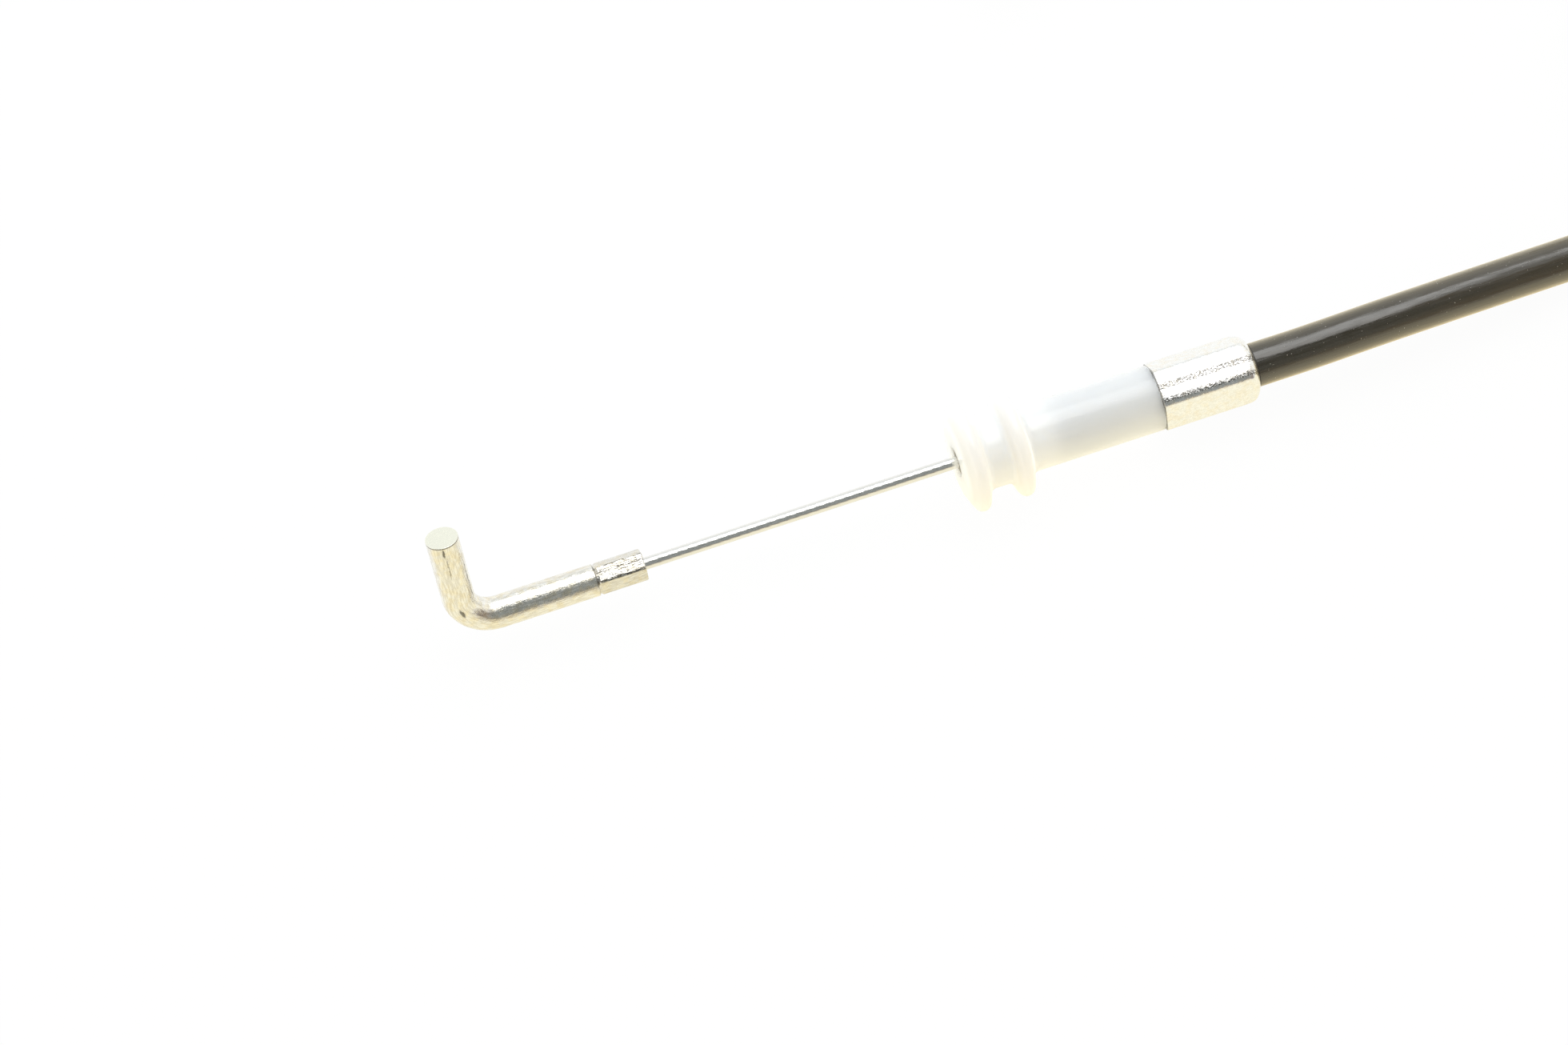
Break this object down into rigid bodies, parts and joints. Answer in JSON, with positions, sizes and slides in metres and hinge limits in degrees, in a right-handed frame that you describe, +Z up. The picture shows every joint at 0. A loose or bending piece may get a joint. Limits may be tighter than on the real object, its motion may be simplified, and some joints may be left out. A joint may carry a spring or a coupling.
{
  "type": "control cable",
  "caption": "Bowden control cable: a hook pin on a sliding inner wire, plastic guides with bracket grooves, crimped ferrules, a black sheath in a coil and a barrel nipple.",
  "frame": {"origin": "on the wire's axis at the centre of the groove of the guide at the hook end", "axes": "+X along the wire from the hook towards the sheath, +Z up, square to the surface that the cable lies on; +Y towards the side that the coil lies on"},
  "size_m": [0.2297, 0.0784, 0.0196],
  "materials": {
    "zinc_plate": "bright zinc plate with drawing and die marks",
    "wire": "bright smooth steel strand",
    "guide_plastic": "natural acetal, slightly translucent, soft gloss",
    "liner_plastic": "smooth plastic tube",
    "armour_steel": "flat-wound steel wire",
    "sheath_plastic": "satin extruded black",
    "tie_nylon": "natural nylon",
    "cast_zinc": "as cast, dull grey"
  },
  "bodies": {
    "conduit": {"near_guide": "guide_plastic", "near_ferrule": "zinc_plate", "near_liner": "liner_plastic", "near_armour": "armour_steel", "near_jacket": "sheath_plastic", "sheath_run": "sheath_plastic", "sheath_coil": "sheath_plastic", "coil_tie_a": "tie_nylon", "coil_tie_b": "tie_nylon", "sheath_tail": "sheath_plastic", "far_guide": "guide_plastic", "far_ferrule": "zinc_plate", "far_liner": "liner_plastic", "far_armour": "armour_steel", "far_jacket": "sheath_plastic"},
    "near_core": {"near_core_wire": "wire"},
    "hook": {"hook_end": "zinc_plate", "hook_wire": "wire"},
    "far_core": {"far_core_wire": "wire"},
    "nipple": {"end_nipple": "cast_zinc", "nipple_wire": "wire"}
  },
  "joints": [
    {"name": "hook_pull", "type": "slide", "parent": "conduit", "child": "near_core", "axis": [-1, 0, 0], "range_m": [-0.015, 0.015]},
    {"name": "hook_turn", "type": "hinge", "parent": "near_core", "child": "hook", "pos_m": [-0.0505, 0, 0], "axis": [-1, 0, 0], "range_deg": [-90, 90]},
    {"name": "nipple_pull", "type": "slide", "parent": "conduit", "child": "far_core", "axis": [-1, 0, 0], "range_m": [-0.015, 0.015]},
    {"name": "nipple_turn", "type": "hinge", "parent": "far_core", "child": "nipple", "pos_m": [0.0255, 0.065, 0], "axis": [-1, 0, 0], "range_deg": [-90, 90]}
  ],
  "couplings": [
    {"joint": "nipple_pull", "follows": "hook_pull", "ratio": -1}
  ]
}
